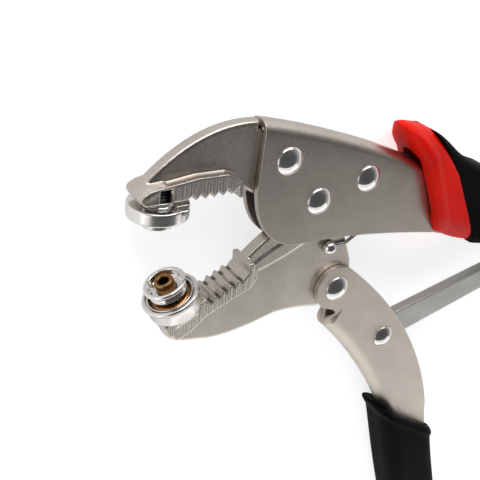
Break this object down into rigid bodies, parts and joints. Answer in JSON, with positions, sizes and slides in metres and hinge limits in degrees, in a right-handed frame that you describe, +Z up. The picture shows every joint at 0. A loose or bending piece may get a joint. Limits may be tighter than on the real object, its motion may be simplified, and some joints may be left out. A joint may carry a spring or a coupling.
{
  "type": "locking pliers",
  "caption": "Locking pliers with snap-setting dies: channel handles, riveted jaws with a hinged lower jaw, toggle link, adjusting screw, release lever and rubber grips, shown open",
  "frame": {"origin": "centre of the tool's footprint, on the surface it lies on, with the jaws open", "axes": "X along the length from the jaws (-X) to the adjusting screw (+X), Y across the handles with the upper handle at +Y, Z up through the thickness, along every pivot"},
  "size_m": [0.263, 0.2084, 0.017],
  "materials": {
    "pressed_steel": "satin nickel plate on pressed sheet",
    "forged_steel": "satin nickel plate on a forging, milled teeth",
    "rivet_chrome": "polished",
    "black_steel": "black oxide",
    "die_steel": "turned and plated",
    "plated_steel": "zinc plated",
    "black_grip": "matt moulded",
    "red_collar": "satin moulded",
    "spring_wire": "drawn wire",
    "snap_brass": "aged"
  },
  "bodies": {
    "upper_body": {"upper_handle": "pressed_steel", "fixed_jaw": "forged_steel", "tang_rivets": "rivet_chrome", "jaw_pivot_rivet": "rivet_chrome", "upper_die_shank": "black_steel", "upper_die": "die_steel", "screw_nut": "plated_steel", "upper_grip": "black_grip", "upper_grip_collar": "red_collar", "return_spring": "spring_wire"},
    "screw_shaft": {"adjusting_screw": "plated_steel"},
    "screw_head": {"screw_knob": "plated_steel"},
    "jaw_body": {"lower_jaw": "forged_steel", "spring_pin": "rivet_chrome", "lower_die": "die_steel", "snap_cap": "snap_brass", "snap_socket": "rivet_chrome"},
    "handle_body": {"lower_handle": "pressed_steel", "handle_pivot_rivet": "rivet_chrome", "link_rivet": "rivet_chrome", "lower_grip": "black_grip", "lever_pin": "rivet_chrome"},
    "link_body": {"toggle_link": "plated_steel"},
    "lever_body": {"release_lever": "plated_steel"}
  },
  "joints": [
    {"name": "jaw_hinge", "type": "hinge", "parent": "upper_body", "child": "jaw_body", "pos_m": [-0.07306, 0.0774, 0.0085], "axis": [0, 0, 1], "range_deg": [-22, 0], "stiffness_Nm_per_rad": 0.3, "deforming": ["return_spring"]},
    {"name": "handle_hinge", "type": "hinge", "parent": "jaw_body", "child": "handle_body", "pos_m": [-0.06156, 0.0451, 0.0085], "axis": [0, 0, 1], "range_deg": [0, 68.87]},
    {"name": "link_hinge", "type": "hinge", "parent": "handle_body", "child": "link_body", "pos_m": [-0.03876, 0.021, 0.0085], "axis": [0, 0, 1], "range_deg": [-59.37, 0]},
    {"name": "lever_hinge", "type": "hinge", "parent": "handle_body", "child": "lever_body", "pos_m": [-0.00706, -0.0656, 0.0085], "axis": [0, 0, 1], "range_deg": [-8, 0]},
    {"name": "screw_advance", "type": "slide", "parent": "upper_body", "child": "screw_shaft", "axis": [0.9636, -0.2672, 0], "range_m": [0, 0.012]},
    {"name": "knob_turn", "type": "hinge", "parent": "screw_shaft", "child": "screw_head", "pos_m": [0.06194, 0.0438, 0.0085], "axis": [0.9636, -0.2672, 0], "range_deg": [0, 2880.01]}
  ],
  "couplings": [
    {"joint": "handle_hinge", "follows": "jaw_hinge", "ratio": -3.13},
    {"joint": "link_hinge", "follows": "jaw_hinge", "ratio": 2.698},
    {"joint": "knob_turn", "follows": "screw_advance", "rad_per_m": 4188.8}
  ]
}
